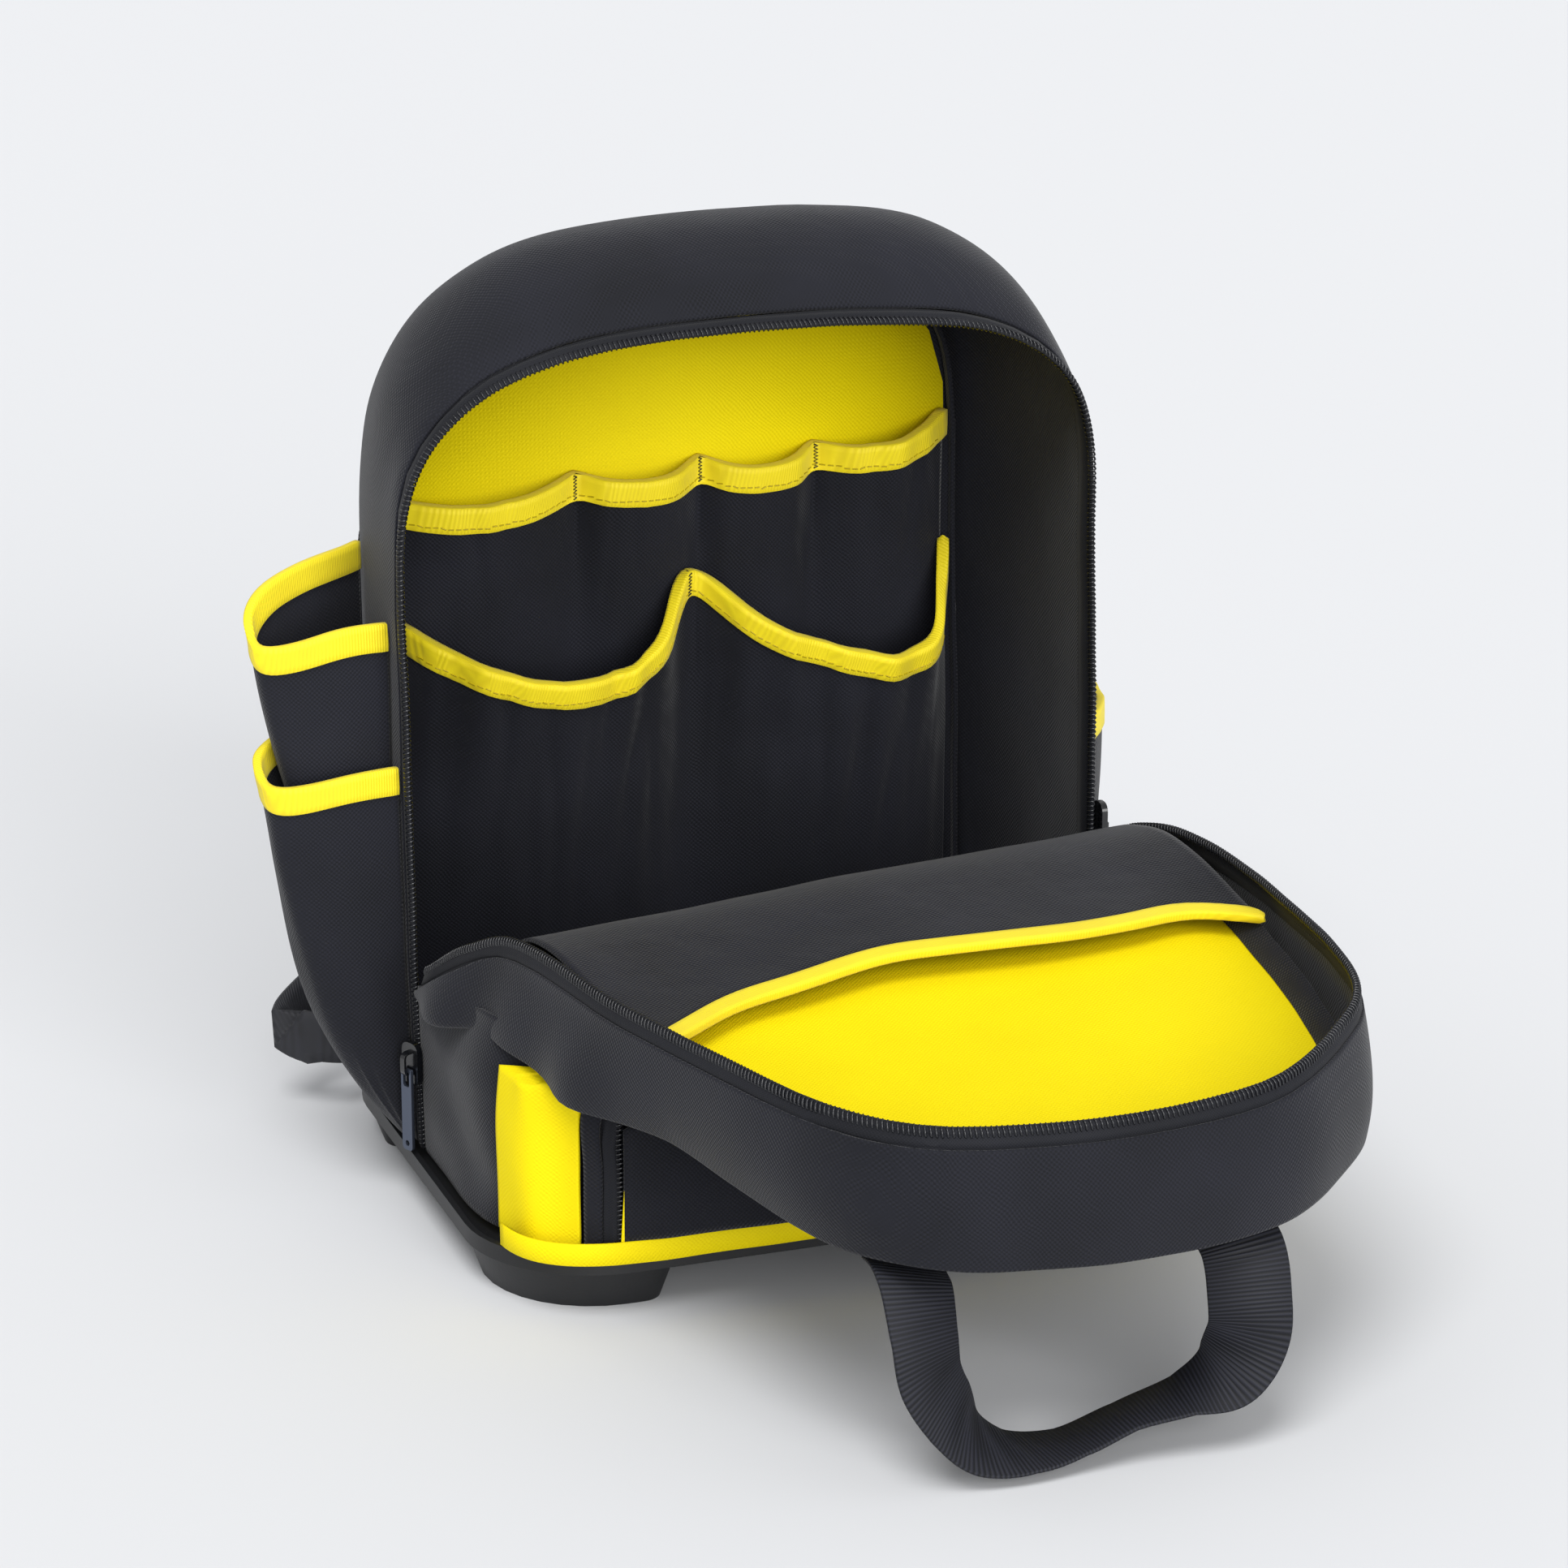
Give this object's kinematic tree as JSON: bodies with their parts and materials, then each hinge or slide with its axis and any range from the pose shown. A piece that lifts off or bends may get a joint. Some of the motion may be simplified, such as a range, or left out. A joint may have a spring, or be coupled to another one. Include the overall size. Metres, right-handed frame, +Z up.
{
  "type": "tool backpack",
  "caption": "Tool backpack standing open on a moulded base, front panel unzipped and folded down, pockets inside and on both sides.",
  "frame": {"origin": "on the floor, under the middle of the bounding box", "axes": "+Z up, +Y to the back panel and the shoulder straps, +X to the right as seen from the front"},
  "size_m": [0.4372, 0.5712, 0.447],
  "materials": {
    "black_cloth": "coarse plain weave, matt",
    "yellow_cloth": "coarse plain weave, matt",
    "webbing": "ribbed webbing",
    "base": "matt, moulded",
    "zip": "woven tape with a glossy coil",
    "slider": "gloss black",
    "pull": "satin",
    "buckle": "satin"
  },
  "bodies": {
    "bag": {"base_tray": "base", "body_gusset": "black_cloth", "back_panel": "black_cloth", "back_lining": "yellow_cloth", "back_seam_binding": "black_cloth", "body_zip": "zip", "front_section": "black_cloth", "flap_gusset": "black_cloth", "flap_zip": "zip", "flap_panel": "black_cloth", "flap_lining": "yellow_cloth", "flap_pocket": "black_cloth", "flap_pocket_binding": "yellow_cloth", "pocket_gusset": "yellow_cloth", "pocket_band": "black_cloth", "pocket_zip": "zip", "pocket_face": "black_cloth", "pocket_strip": "yellow_cloth", "left_upper_pocket": "black_cloth", "left_upper_pocket_binding": "yellow_cloth", "left_lower_pocket": "black_cloth", "left_lower_pocket_binding": "yellow_cloth", "right_upper_pocket": "black_cloth", "right_upper_pocket_binding": "yellow_cloth", "right_lower_pocket": "black_cloth", "right_lower_pocket_binding": "yellow_cloth", "upper_row": "black_cloth", "upper_row_binding": "yellow_cloth", "lower_row": "black_cloth", "lower_row_binding": "yellow_cloth", "handle": "webbing", "left_strap": "black_cloth", "left_webbing": "webbing", "right_strap": "black_cloth", "right_webbing": "webbing", "left_slider": "slider", "right_slider": "slider", "pocket_slider": "slider", "left_buckle": "buckle", "right_buckle": "buckle"},
    "zip_pull": {"left_pull": "pull"}
  },
  "joints": [
    {"name": "pull_swing", "type": "hinge", "parent": "bag", "child": "zip_pull", "pos_m": [-0.15688, 0.09319, 0.0688], "axis": [-0.423, 0.9061, 0], "range_deg": [0, 150]}
  ]
}
